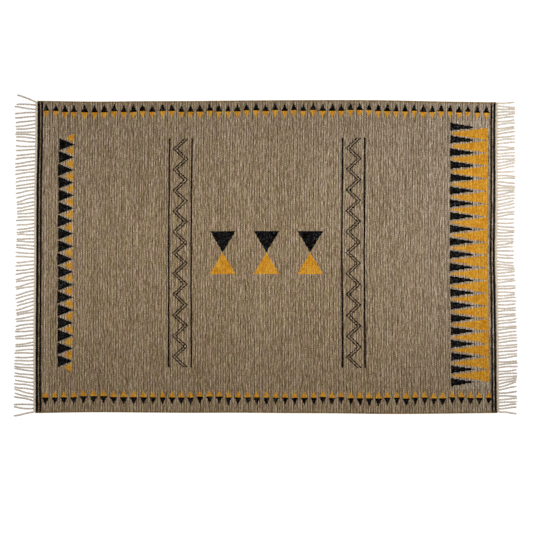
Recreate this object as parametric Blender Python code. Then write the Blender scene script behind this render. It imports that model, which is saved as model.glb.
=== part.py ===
"""A flat-woven rug with a fringe at each end, lying flat on a floor.

Metres, +Z up. X runs along the rug, Y across it, and the origin is at the middle of the
underside of the woven field. The field is one sheet. Each fringe is a narrow heading strip
with its strands, set against the end of the field.
"""

import math
import random
from typing import NamedTuple

import bmesh
import bpy

# The woven field.
FIELD_LENGTH = 1.769
FIELD_WIDTH = 1.200
FIELD_THICKNESS = 0.0045
EDGE_HEIGHT = 0.0032  # the upright part of the cloth's edge, under its rounding
EDGE_ROUNDING = 0.0012
SELVEDGE_WIDTH = 0.0060  # the doubled warps along each long edge
SELVEDGE_RISE = 0.0006  # how far they stand above the field
SELVEDGE_SLOPE = 0.0010
SIDE_STEP = 0.060  # between outline points along a long edge
END_STEP = 0.025  # and along an end, where the heading strip has to follow it
CORNER_STEP = 0.012

# The heading strips, which hold the strands' roots.
SEAM_GAP = 0.0003
HEADING_HEIGHT = 0.0036

# The strands.
ROOT_MARGIN = 0.0012  # from the corner of the strip to the nearest strand
ROOT_WANDER = 0.0016
LEAN_WANDER = 0.0035
BULGE_WANDER = 0.0024
RIPPLE_WANDER = 0.0009
REACH_WANDER = 0.0022
PAIR_CHANCE = 0.16  # how often a tip is drawn to its neighbour's
PAIR_PULL = 0.42  # the share of their distance that each tip of a pair moves
CLEAR_SHARE = 1.45  # the least distance between strands, in strand widths
CLEARING_PASSES = 12
TOP_SHARE = 0.72  # a strand's top, as a share of its foot


class SideRow(NamedTuple):
    """How far the long edges stand outside a straight line, at a place along the rug."""

    along: float
    far: float
    near: float


class EndRow(NamedTuple):
    """How far the ends stand outside a straight line, at a place across the rug."""

    across: float
    left: float
    right: float


class LieRow(NamedTuple):
    """How the strands lie at a place across the rug.

    The lean is how far towards the far side a tip lies from its root, and the reach is how far
    it lies from the heading strip.
    """

    across: float
    lean: float
    reach: float


class StrandSection(NamedTuple):
    """A section of a strand: its place from root to tip, its width share and its height."""

    along: float
    width_share: float
    height: float


class Fringe(NamedTuple):
    """One fringe: its node's name, the end that it is on, its sizes and its seed."""

    name: str
    end: int
    heading_width: float
    strand_width: float
    pitch: float
    lie_rows: tuple
    seed: int


SIDE_ROWS = (
    SideRow(-0.880, 0.0002, 0.0002),
    SideRow(-0.665, -0.0026, -0.0028),
    SideRow(-0.475, -0.0012, -0.0018),
    SideRow(-0.290, -0.0006, -0.0006),
    SideRow(-0.105, 0.0014, -0.0010),
    SideRow(0.080, 0.0026, 0.0004),
    SideRow(0.265, 0.0032, 0.0014),
    SideRow(0.450, 0.0024, 0.0036),
    SideRow(0.635, -0.0016, 0.0030),
    SideRow(0.820, -0.0046, 0.0008),
    SideRow(0.890, -0.0050, 0.0000),
)

END_ROWS = (
    EndRow(-0.600, 0.0022, 0.0055),
    EndRow(-0.450, 0.0025, 0.0035),
    EndRow(-0.300, 0.0022, 0.0025),
    EndRow(-0.150, 0.0013, 0.0004),
    EndRow(0.000, 0.0000, -0.0026),
    EndRow(0.150, -0.0003, -0.0010),
    EndRow(0.300, -0.0015, -0.0003),
    EndRow(0.450, -0.0048, -0.0009),
    EndRow(0.600, -0.0055, 0.0010),
)

LEFT_LIE_ROWS = (
    LieRow(-0.597, -0.015, 0.0740),
    LieRow(-0.572, 0.006, 0.0730),
    LieRow(-0.553, 0.019, 0.0725),
    LieRow(-0.485, 0.010, 0.0710),
    LieRow(-0.430, 0.011, 0.0710),
    LieRow(-0.395, -0.001, 0.0705),
    LieRow(-0.300, -0.006, 0.0680),
    LieRow(-0.225, -0.010, 0.0665),
    LieRow(-0.160, -0.021, 0.0660),
    LieRow(-0.040, -0.009, 0.0680),
    LieRow(0.030, 0.005, 0.0680),
    LieRow(0.110, -0.006, 0.0660),
    LieRow(0.155, -0.002, 0.0655),
    LieRow(0.205, -0.016, 0.0655),
    LieRow(0.285, -0.008, 0.0690),
    LieRow(0.335, -0.012, 0.0720),
    LieRow(0.400, -0.007, 0.0730),
    LieRow(0.455, 0.005, 0.0740),
    LieRow(0.515, -0.009, 0.0750),
    LieRow(0.568, 0.003, 0.0760),
    LieRow(0.597, 0.030, 0.0670),
)

RIGHT_LIE_ROWS = (
    LieRow(-0.597, -0.010, 0.0680),
    LieRow(-0.580, 0.010, 0.0685),
    LieRow(-0.545, 0.000, 0.0685),
    LieRow(-0.495, 0.019, 0.0690),
    LieRow(-0.450, 0.004, 0.0705),
    LieRow(-0.370, 0.007, 0.0718),
    LieRow(-0.260, 0.007, 0.0700),
    LieRow(-0.150, 0.002, 0.0685),
    LieRow(-0.070, 0.006, 0.0665),
    LieRow(-0.020, -0.006, 0.0640),
    LieRow(0.050, 0.003, 0.0640),
    LieRow(0.120, -0.003, 0.0643),
    LieRow(0.170, 0.012, 0.0640),
    LieRow(0.245, 0.008, 0.0655),
    LieRow(0.280, -0.006, 0.0660),
    LieRow(0.355, 0.011, 0.0670),
    LieRow(0.410, 0.001, 0.0670),
    LieRow(0.480, 0.011, 0.0665),
    LieRow(0.545, 0.005, 0.0655),
    LieRow(0.570, -0.004, 0.0655),
    LieRow(0.597, 0.009, 0.0650),
)

STRAND_SECTIONS = (
    StrandSection(0.05, 1.24, 0.0038),
    StrandSection(0.14, 0.90, 0.0030),
    StrandSection(0.42, 1.00, 0.0032),
    StrandSection(0.72, 1.00, 0.0031),
    StrandSection(1.00, 0.80, 0.0026),
)

FRINGES = (
    Fringe("fringe_left", -1, 0.0090, 0.0053, 0.01425, LEFT_LIE_ROWS, 11),
    Fringe("fringe_right", 1, 0.0068, 0.0049, 0.01215, RIGHT_LIE_ROWS, 23),
)

FIELD_COLOUR = (0.243, 0.184, 0.117, 1.0)
FIELD_ROUGHNESS = 0.92
FRINGE_COLOUR = (0.560, 0.490, 0.390, 1.0)
FRINGE_ROUGHNESS = 0.88


def eased(places, values, at):
    """The value at a place, on a smooth curve through the values at the given places."""
    if at <= places[0]:
        return values[0]
    if at >= places[-1]:
        return values[-1]
    after = next(i for i, place in enumerate(places) if place > at)
    before = after - 1
    span = places[after] - places[before]
    share = (at - places[before]) / span

    def slope(i):
        low, high = max(i - 1, 0), min(i + 1, len(places) - 1)
        return (values[high] - values[low]) / (places[high] - places[low]) * span

    square, cube = share**2, share**3
    return (
        values[before] * (2 * cube - 3 * square + 1)
        + slope(before) * (cube - 2 * square + share)
        + values[after] * (3 * square - 2 * cube)
        + slope(after) * (cube - square)
    )


def column(rows, name):
    return [getattr(row, name) for row in rows]


def long_edge(x, side):
    """The Y of the long edge on the far (1) or near (-1) side."""
    bow = eased(column(SIDE_ROWS, "along"), column(SIDE_ROWS, "far" if side > 0 else "near"), x)
    return side * (FIELD_WIDTH / 2 + bow)


def end_edge(y, end):
    """The X of the end on the right (1) or left (-1)."""
    bow = eased(column(END_ROWS, "across"), column(END_ROWS, "right" if end > 0 else "left"), y)
    return end * (FIELD_LENGTH / 2 + bow)


def corner(end, side):
    return (
        end_edge(side * FIELD_WIDTH / 2, end),
        long_edge(end * FIELD_LENGTH / 2, side),
    )


def spread(start, stop, step):
    """Even places strictly between start and stop, about a step apart."""
    count = max(2, round(abs(stop - start) / step))
    return [start + (stop - start) * i / count for i in range(1, count)]


class OutlinePoint(NamedTuple):
    """A point of the field's outline, its inward direction and whether the selvedge is there."""

    x: float
    y: float
    inward_x: int
    inward_y: int
    selvedge: bool


def long_side_points(side, start_end):
    """The corner at start_end, then the points of that long edge up to the other corner."""
    x0, y0 = corner(start_end, side)
    x1, _ = corner(-start_end, side)
    points = [OutlinePoint(x0, y0, -start_end, -side, True)]
    for x in spread(x0, x1, SIDE_STEP):
        points.append(OutlinePoint(x, long_edge(x, side), 0, -side, True))
    return points


def end_points(end, start_side):
    """The corner at start_side, then the points of that end up to the other corner."""
    x0, y0 = corner(end, start_side)
    _, y1 = corner(end, -start_side)
    points = [OutlinePoint(x0, y0, -end, -start_side, True)]
    first, last = y0 - start_side * CORNER_STEP, y1 + start_side * CORNER_STEP
    for y in [first, *spread(first, last, END_STEP), last]:
        points.append(OutlinePoint(end_edge(y, end), y, -end, 0, False))
    return points


def field_outline():
    """The outline, anticlockwise from the near left corner."""
    return [
        *long_side_points(-1, -1),
        *end_points(1, -1),
        *long_side_points(1, 1),
        *end_points(-1, 1),
    ]


def ring(mesh, outline, inset, height, rise):
    """A closed row of points that lies an inset inside the outline."""
    return [
        mesh.verts.new(
            (
                point.x + point.inward_x * inset,
                point.y + point.inward_y * inset,
                height + (rise if point.selvedge else 0.0),
            )
        )
        for point in outline
    ]


def bridge(mesh, lower, upper):
    for i, vertex in enumerate(lower):
        after = (i + 1) % len(lower)
        mesh.faces.new((vertex, lower[after], upper[after], upper[i]))


def make_field():
    """The woven sheet: a flat underside, a rounded edge and the two raised selvedges."""
    mesh = bmesh.new()
    outline = field_outline()
    slope_end = SELVEDGE_WIDTH + SELVEDGE_SLOPE
    rings = [
        ring(mesh, outline, 0.0, 0.0, 0.0),
        ring(mesh, outline, 0.0, EDGE_HEIGHT, SELVEDGE_RISE),
        ring(mesh, outline, EDGE_ROUNDING, FIELD_THICKNESS, SELVEDGE_RISE),
        ring(mesh, outline, SELVEDGE_WIDTH, FIELD_THICKNESS, SELVEDGE_RISE),
        ring(mesh, outline, slope_end, FIELD_THICKNESS, 0.0),
    ]
    for lower, upper in zip(rings, rings[1:]):
        bridge(mesh, lower, upper)
    mesh.faces.new(reversed(rings[0]))
    mesh.faces.new(rings[-1])
    return mesh


class Strand(NamedTuple):
    """A strand: the Y of its root, its reach in X, and its Y at each strand section."""

    root: float
    reach: float
    sideways: list


def keep_apart(strands, least):
    """Moves sections that lie too near the next strand's, the strands being in order of Y."""
    for _ in range(CLEARING_PASSES):
        for one, other in zip(strands, strands[1:]):
            for i, (low, high) in enumerate(zip(one.sideways, other.sideways)):
                short = least - (high - low)
                if short > 0:
                    one.sideways[i] -= short / 2
                    other.sideways[i] += short / 2


def draw_pairs(strands, chance):
    """Draws some neighbouring tips together, never the same strand twice."""
    last = len(strands) - 1
    i = 1
    while i < last - 1:
        if chance.random() < PAIR_CHANCE:
            for k, section in enumerate(STRAND_SECTIONS):
                pull = PAIR_PULL * section.along**2
                apart = strands[i + 1].sideways[k] - strands[i].sideways[k]
                strands[i].sideways[k] += pull * apart
                strands[i + 1].sideways[k] -= pull * apart
            i += 1
        i += 1


def lay_strands(fringe):
    """The strands of a fringe, from the near side to the far side."""
    chance = random.Random(fringe.seed)
    half_root = fringe.strand_width / 2 + ROOT_MARGIN
    first = corner(fringe.end, -1)[1] + half_root
    last = corner(fringe.end, 1)[1] - half_root
    count = round((last - first) / fringe.pitch) + 1
    places = column(fringe.lie_rows, "across")
    leans, reaches = column(fringe.lie_rows, "lean"), column(fringe.lie_rows, "reach")
    strands = []
    for i in range(count):
        at_corner = i in (0, count - 1)
        wander = 0.0 if at_corner else chance.uniform(-ROOT_WANDER, ROOT_WANDER)
        root = first + (last - first) * i / (count - 1) + wander
        lean = eased(places, leans, root) + chance.uniform(-LEAN_WANDER, LEAN_WANDER)
        bulge = chance.uniform(-BULGE_WANDER, BULGE_WANDER)
        ripple = chance.uniform(-RIPPLE_WANDER, RIPPLE_WANDER)
        reach = eased(places, reaches, root) + chance.uniform(-REACH_WANDER, REACH_WANDER)
        sideways = [
            root
            + lean * section.along
            + bulge * math.sin(math.pi * section.along)
            + ripple * math.sin(2 * math.pi * section.along)
            for section in STRAND_SECTIONS
        ]
        strands.append(Strand(root, reach, sideways))
    draw_pairs(strands, chance)
    keep_apart(strands, CLEAR_SHARE * fringe.strand_width)
    return strands


def strip_station(mesh, y, fringe):
    """The four corners of the heading strip at a place across the rug."""
    inner = end_edge(y, fringe.end) + fringe.end * SEAM_GAP
    outer = inner + fringe.end * fringe.heading_width
    return [
        mesh.verts.new((inner, y, 0.0)),
        mesh.verts.new((inner, y, HEADING_HEIGHT)),
        mesh.verts.new((outer, y, HEADING_HEIGHT)),
        mesh.verts.new((outer, y, 0.0)),
    ]


def strand_corners(mesh, centre, direction, width, height):
    """A strand's section: a flat foot on the floor and a narrower top."""
    length = math.hypot(*direction)
    side_x, side_y = -direction[1] / length, direction[0] / length
    corners = []
    for share, z in ((-1.0, 0.0), (-TOP_SHARE, height), (TOP_SHARE, height), (1.0, 0.0)):
        offset = share * width / 2
        corners.append(mesh.verts.new((centre[0] + side_x * offset, centre[1] + side_y * offset, z)))
    return corners


def strand_centres(strand, fringe):
    """The strand's centre line, from its root on the strip to its tip."""
    outer = end_edge(strand.root, fringe.end) + fringe.end * (SEAM_GAP + fringe.heading_width)
    centres = [(outer, strand.root)]
    for section, y in zip(STRAND_SECTIONS, strand.sideways):
        centres.append((outer + fringe.end * strand.reach * section.along, y))
    return centres


def add_strand(mesh, near, far, strand, fringe):
    """Draws a strand out of the strip's outer face between two stations of the strip."""
    centres = strand_centres(strand, fringe)
    # Seen along a strand of the right end, the near side of the rug is on the right.
    loop = [near[3], near[2], far[2], far[3]]
    for i, section in enumerate(STRAND_SECTIONS, start=1):
        before, after = centres[i - 1], centres[min(i + 1, len(centres) - 1)]
        direction = (after[0] - before[0], after[1] - before[1])
        width = fringe.strand_width * section.width_share
        corners = strand_corners(mesh, centres[i], direction, width, section.height)
        if fringe.end < 0:
            corners.reverse()
        bridge(mesh, loop, corners)
        loop = corners
    mesh.faces.new(loop)


def make_fringe(fringe):
    """The heading strip with all its strands, as one closed body."""
    mesh = bmesh.new()
    strands = lay_strands(fringe)
    half = fringe.strand_width / 2
    places = [corner(fringe.end, -1)[1]]
    for strand in strands:
        places += [strand.root - half, strand.root + half]
    places.append(corner(fringe.end, 1)[1])
    stations = [strip_station(mesh, y, fringe) for y in places]
    for i, (near, far) in enumerate(zip(stations, stations[1:])):
        for a, b in ((3, 0), (0, 1), (1, 2)):
            mesh.faces.new((near[a], near[b], far[b], far[a]))
        if i % 2:
            add_strand(mesh, near, far, strands[i // 2], fringe)
        else:
            mesh.faces.new((near[2], near[3], far[3], far[2]))
    mesh.faces.new(stations[0])
    mesh.faces.new(reversed(stations[-1]))
    return mesh


def make_material(name, colour, roughness):
    material = bpy.data.materials.new(name)
    material.use_nodes = True
    shader = material.node_tree.nodes["Principled BSDF"]
    shader.inputs["Base Color"].default_value = colour
    shader.inputs["Roughness"].default_value = roughness
    shader.inputs["Metallic"].default_value = 0.0
    return material


def add_object(name, mesh, material):
    """Turns a finished mesh into a named object with its material."""
    bmesh.ops.recalc_face_normals(mesh, faces=mesh.faces)
    data = bpy.data.meshes.new(name)
    mesh.to_mesh(data)
    mesh.free()
    data.materials.append(material)
    bpy.context.scene.collection.objects.link(bpy.data.objects.new(name, data))


def clear_scene():
    for item in list(bpy.data.objects):
        bpy.data.objects.remove(item, do_unlink=True)


def main():
    clear_scene()
    woven = make_material("woven_wool", FIELD_COLOUR, FIELD_ROUGHNESS)
    yarn = make_material("fringe_yarn", FRINGE_COLOUR, FRINGE_ROUGHNESS)
    add_object("rug_field", make_field(), woven)
    for fringe in FRINGES:
        add_object(fringe.name, make_fringe(fringe), yarn)


main()
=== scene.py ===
"""The looks of a flat-woven rug with a fringe at each end, lying flat on a pale floor.

Metres, +Z up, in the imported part's frame: X runs along the rug, Y across it, and the origin
is at the middle of the underside of the woven field. The woven field is one closed sheet,
and each fringe is one piece, with its twined heading, its knots and its strands.
"""

from __future__ import annotations

import logging
import math
import random
from collections.abc import Iterable, Sequence
from dataclasses import dataclass
from enum import Enum
from functools import reduce
from typing import NamedTuple

import bpy
import numpy as np
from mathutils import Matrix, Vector

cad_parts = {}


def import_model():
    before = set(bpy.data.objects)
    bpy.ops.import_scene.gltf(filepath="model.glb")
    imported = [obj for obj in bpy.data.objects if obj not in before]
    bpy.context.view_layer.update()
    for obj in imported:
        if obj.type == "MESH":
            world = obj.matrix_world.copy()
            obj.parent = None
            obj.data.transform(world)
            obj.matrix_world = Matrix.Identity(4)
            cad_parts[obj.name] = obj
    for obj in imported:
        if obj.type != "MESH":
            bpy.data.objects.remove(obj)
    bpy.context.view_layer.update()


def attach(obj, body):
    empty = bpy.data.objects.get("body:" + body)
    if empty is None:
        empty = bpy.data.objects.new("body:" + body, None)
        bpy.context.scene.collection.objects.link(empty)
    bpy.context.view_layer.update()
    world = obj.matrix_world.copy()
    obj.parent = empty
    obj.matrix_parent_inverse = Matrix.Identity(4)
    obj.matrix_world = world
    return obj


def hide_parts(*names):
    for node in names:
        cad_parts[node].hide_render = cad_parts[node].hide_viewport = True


LOG = logging.getLogger("rug")
BODY = "root"
FLAT_MAP = "flat_cut"
BAKE_MAP = "OFBake"
RUN_MARK = "border_run"
TONE_MARK = "strand_tone"

FIELD_LENGTH = 1.769
FIELD_WIDTH = 1.200
PICKS = 680
PICK = FIELD_LENGTH / PICKS
WARPS = 342
WARP = FIELD_WIDTH / WARPS
# How far a pick's edge sways between two warps, as a share of a pick.
BEAT = 0.30
# The bare margin round the field's bake map.
BAKE_MARGIN = 0.001
# How strongly a shade works on red, on green and on blue.
SHADE_SHARES = (0.885, 1.0, 1.18)


class RugEnd(Enum):
    """An end of the rug, by its direction along X."""

    LEFT = -1
    RIGHT = 1


class LongSide(Enum):
    """A long side of the rug, by its direction along Y."""

    NEAR = -1
    FAR = 1


class SideRow(NamedTuple):
    """How far the long edges stand outside a straight line, at a place along the rug."""

    along: float
    far: float
    near: float


class EndRow(NamedTuple):
    """How far the ends stand outside a straight line, at a place across the rug."""

    across: float
    left: float
    right: float


class LieRow(NamedTuple):
    """How the strands lie at a place across the rug: a tip's lean and its reach."""

    across: float
    lean: float
    reach: float


class TaperRow(NamedTuple):
    """How thick a strand is at a place from root to tip, as a share of its full girth."""

    along: float
    girth: float


class BorderRow(NamedTuple):
    """Where a triangle of the long borders is woven, along the rug from its middle."""

    number: int
    far: float
    near: float


class StripeRow(NamedTuple):
    """A dark stripe of an end: where its middle is along the rug, and half its width."""

    at: float
    half_width: float


class ToothStep(NamedTuple):
    """A step of the right teeth's outline: where it is and how much half-width it takes off."""

    at: float
    narrower: float


SIDE_ROWS = (
    SideRow(-0.880, 0.0002, 0.0002),
    SideRow(-0.665, -0.0026, -0.0028),
    SideRow(-0.475, -0.0012, -0.0018),
    SideRow(-0.290, -0.0006, -0.0006),
    SideRow(-0.105, 0.0014, -0.0010),
    SideRow(0.080, 0.0026, 0.0004),
    SideRow(0.265, 0.0032, 0.0014),
    SideRow(0.450, 0.0024, 0.0036),
    SideRow(0.635, -0.0016, 0.0030),
    SideRow(0.820, -0.0046, 0.0008),
    SideRow(0.890, -0.0050, 0.0000),
)

END_ROWS = (
    EndRow(-0.600, 0.0022, 0.0055),
    EndRow(-0.450, 0.0025, 0.0035),
    EndRow(-0.300, 0.0022, 0.0025),
    EndRow(-0.150, 0.0013, 0.0004),
    EndRow(0.000, 0.0000, -0.0026),
    EndRow(0.150, -0.0003, -0.0010),
    EndRow(0.300, -0.0015, -0.0003),
    EndRow(0.450, -0.0048, -0.0009),
    EndRow(0.600, -0.0055, 0.0010),
)

LEFT_LIE_ROWS = (
    LieRow(-0.597, -0.015, 0.0740),
    LieRow(-0.572, 0.006, 0.0730),
    LieRow(-0.553, 0.019, 0.0725),
    LieRow(-0.485, 0.010, 0.0710),
    LieRow(-0.430, 0.011, 0.0710),
    LieRow(-0.395, -0.001, 0.0705),
    LieRow(-0.300, -0.006, 0.0680),
    LieRow(-0.225, -0.010, 0.0665),
    LieRow(-0.160, -0.021, 0.0660),
    LieRow(-0.040, -0.009, 0.0680),
    LieRow(0.030, 0.005, 0.0680),
    LieRow(0.110, -0.006, 0.0660),
    LieRow(0.155, -0.002, 0.0655),
    LieRow(0.205, -0.016, 0.0655),
    LieRow(0.285, -0.008, 0.0690),
    LieRow(0.335, -0.012, 0.0720),
    LieRow(0.400, -0.007, 0.0730),
    LieRow(0.455, 0.005, 0.0740),
    LieRow(0.515, -0.009, 0.0750),
    LieRow(0.568, 0.003, 0.0760),
    LieRow(0.597, 0.030, 0.0670),
)

RIGHT_LIE_ROWS = (
    LieRow(-0.597, -0.010, 0.0680),
    LieRow(-0.580, 0.010, 0.0685),
    LieRow(-0.545, 0.000, 0.0685),
    LieRow(-0.495, 0.019, 0.0690),
    LieRow(-0.450, 0.004, 0.0705),
    LieRow(-0.370, 0.007, 0.0718),
    LieRow(-0.260, 0.007, 0.0700),
    LieRow(-0.150, 0.002, 0.0685),
    LieRow(-0.070, 0.006, 0.0665),
    LieRow(-0.020, -0.006, 0.0640),
    LieRow(0.050, 0.003, 0.0640),
    LieRow(0.120, -0.003, 0.0643),
    LieRow(0.170, 0.012, 0.0640),
    LieRow(0.245, 0.008, 0.0655),
    LieRow(0.280, -0.006, 0.0660),
    LieRow(0.355, 0.011, 0.0670),
    LieRow(0.410, 0.001, 0.0670),
    LieRow(0.480, 0.011, 0.0665),
    LieRow(0.545, 0.005, 0.0655),
    LieRow(0.570, -0.004, 0.0655),
    LieRow(0.597, 0.009, 0.0650),
)

# Where a strand's sideways place is given, as shares of it from root to tip.
STRAND_PLACES = (0.05, 0.14, 0.42, 0.72, 1.00)

TAPER_ROWS = (
    TaperRow(0.00, 0.95),
    TaperRow(0.90, 1.00),
    TaperRow(0.97, 0.82),
    TaperRow(1.00, 0.35),
)

BORDER_ROWS = (
    BorderRow(0, -0.8480, -0.8458),
    BorderRow(3, -0.7423, -0.7372),
    BorderRow(5, -0.6630, -0.6610),
    BorderRow(10, -0.4770, -0.4700),
    BorderRow(16, -0.2572, -0.2539),
    BorderRow(24, 0.0320, 0.0370),
    BorderRow(30, 0.2520, 0.2520),
    BorderRow(36, 0.4640, 0.4640),
    BorderRow(42, 0.6720, 0.6760),
    BorderRow(47, 0.8461, 0.8510),
)

STRIPE_ROWS = (
    StripeRow(-0.8779, 0.0051),
    StripeRow(-0.8653, 0.0041),
    StripeRow(0.8661, 0.0038),
    StripeRow(0.8773, 0.0045),
)

TOOTH_STEPS = (
    ToothStep(0.0105, 0.0036),
    ToothStep(0.0315, 0.0019),
    ToothStep(0.0375, 0.0016),
    ToothStep(0.0555, 0.0028),
    ToothStep(0.0775, 0.0033),
)


def values_of(rows: Sequence[NamedTuple], name: str) -> tuple[float, ...]:
    """Returns one named column of a table."""
    return tuple(getattr(row, name) for row in rows)


@dataclass(frozen=True)
class SmoothRun:
    """A smooth curve through values at rising places, level past its ends."""

    places: tuple[float, ...]
    values: tuple[float, ...]

    def at(self, where: np.ndarray | float) -> np.ndarray:
        """The curve's values.

        Args:
            where: the places to read it at.

        Returns:
            A value for each place.
        """
        places, values = np.array(self.places), np.array(self.values)
        where = np.clip(np.asarray(where, float), places[0], places[-1])
        last = len(places) - 1
        after = np.clip(np.searchsorted(places, where, side="right"), 1, last)
        before = after - 1
        order = np.arange(last + 1)
        low, high = np.maximum(order - 1, 0), np.minimum(order + 1, last)
        slopes = (values[high] - values[low]) / (places[high] - places[low])
        span = places[after] - places[before]
        share = (where - places[before]) / span
        square, cube = share**2, share**3
        return (
            values[before] * (2 * cube - 3 * square + 1)
            + slopes[before] * span * (cube - 2 * square + share)
            + values[after] * (3 * square - 2 * cube)
            + slopes[after] * span * (cube - square)
        )


@dataclass(frozen=True)
class RugLie:
    """How the cloth lies: its four uneven edges, and where a place of the flat cut goes."""

    length: float = FIELD_LENGTH
    width: float = FIELD_WIDTH
    far: SmoothRun = SmoothRun(values_of(SIDE_ROWS, "along"), values_of(SIDE_ROWS, "far"))
    near: SmoothRun = SmoothRun(values_of(SIDE_ROWS, "along"), values_of(SIDE_ROWS, "near"))
    left: SmoothRun = SmoothRun(values_of(END_ROWS, "across"), values_of(END_ROWS, "left"))
    right: SmoothRun = SmoothRun(values_of(END_ROWS, "across"), values_of(END_ROWS, "right"))

    def long_edge(self, x: np.ndarray | float, side: LongSide) -> np.ndarray:
        """The Y of a long edge at a place along the rug."""
        bow = self.far if side is LongSide.FAR else self.near
        return side.value * (self.width / 2 + bow.at(x))

    def end_edge(self, y: np.ndarray | float, end: RugEnd) -> np.ndarray:
        """The X of an end at a place across the rug."""
        bow = self.right if end is RugEnd.RIGHT else self.left
        return end.value * (self.length / 2 + bow.at(y))

    def corner_y(self, end: RugEnd, side: LongSide) -> float:
        """The Y of a corner of the cloth."""
        return float(self.long_edge(end.value * self.length / 2, side))

    def lie(self, u: np.ndarray, v: np.ndarray) -> tuple[np.ndarray, np.ndarray]:
        """Where places of the flat cut lie.

        Args:
            u: places along the cut, from its left end.
            v: places across it, from its near side.

        Returns:
            Their X and Y.
        """
        level_x = u - self.length / 2
        low, high = self.long_edge(level_x, LongSide.NEAR), self.long_edge(level_x, LongSide.FAR)
        y = low + (high - low) * v / self.width
        left, right = self.end_edge(y, RugEnd.LEFT), self.end_edge(y, RugEnd.RIGHT)
        return left + (right - left) * u / self.length, y


Tint = tuple[float, float, float]
Paint = Tint | bpy.types.NodeSocket


class Term:
    """A number that a material's nodes work out, with the usual arithmetic."""

    def __init__(self, socket: bpy.types.NodeSocket) -> None:
        """Holds an output socket."""
        self.socket = socket

    @property
    def tree(self) -> bpy.types.NodeTree:
        """The node tree that the socket is in."""
        return self.socket.id_data

    def joined(self, operation: str, *others: Term | float) -> Term:
        """A Math node on this term and others.

        Args:
            operation: the node's operation.
            others: its other inputs.

        Returns:
            The node's result.
        """
        node = self.tree.nodes.new("ShaderNodeMath")
        node.operation = operation
        for slot, value in enumerate((self, *others)):
            feed(node.inputs[slot], value)
        return Term(node.outputs[0])

    def __add__(self, other: Term | float) -> Term:
        """The sum."""
        return self.joined("ADD", other)

    def __sub__(self, other: Term | float) -> Term:
        """The difference."""
        return self.joined("SUBTRACT", other)

    def __rsub__(self, other: float) -> Term:
        """The difference from a number."""
        return (self * -1.0) + other

    def __mul__(self, other: Term | float) -> Term:
        """The product."""
        return self.joined("MULTIPLY", other)

    def __truediv__(self, other: float) -> Term:
        """The share of a number."""
        return self * (1.0 / other)

    def size(self) -> Term:
        """The term without its sign."""
        return self.joined("ABSOLUTE")

    def floor(self) -> Term:
        """The whole number below."""
        return self.joined("FLOOR")

    def nearest(self) -> Term:
        """The nearest whole number."""
        return (self + 0.5).floor()

    def above(self, other: Term | float) -> Term:
        """1 where it is above the other, else 0."""
        return self.joined("GREATER_THAN", other)

    def below(self, other: Term | float) -> Term:
        """1 where it is below the other, else 0."""
        return self.joined("LESS_THAN", other)

    def between(self, low: float, high: float) -> Term:
        """1 where it is between two numbers, else 0."""
        return (self - (low + high) / 2).size().below((high - low) / 2)

    def cosine(self) -> Term:
        """Its cosine, in radians."""
        return self.joined("COSINE")

    def growth(self) -> Term:
        """The number e raised to it."""
        return self.joined("EXPONENT")

    def least(self, other: Term | float) -> Term:
        """The smaller of the two."""
        return self.joined("MINIMUM", other)

    def most(self, other: Term | float) -> Term:
        """The larger of the two."""
        return self.joined("MAXIMUM", other)

    def kept(self) -> Term:
        """The term held between 0 and 1."""
        return self.most(0.0).least(1.0)


def feed(socket: bpy.types.NodeSocket, value: Term | float | tuple[float, ...]) -> None:
    """Links a term to an input socket, or sets a plain value on it."""
    if isinstance(value, Term):
        socket.id_data.links.new(value.socket, socket)
    else:
        socket.default_value = value


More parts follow.
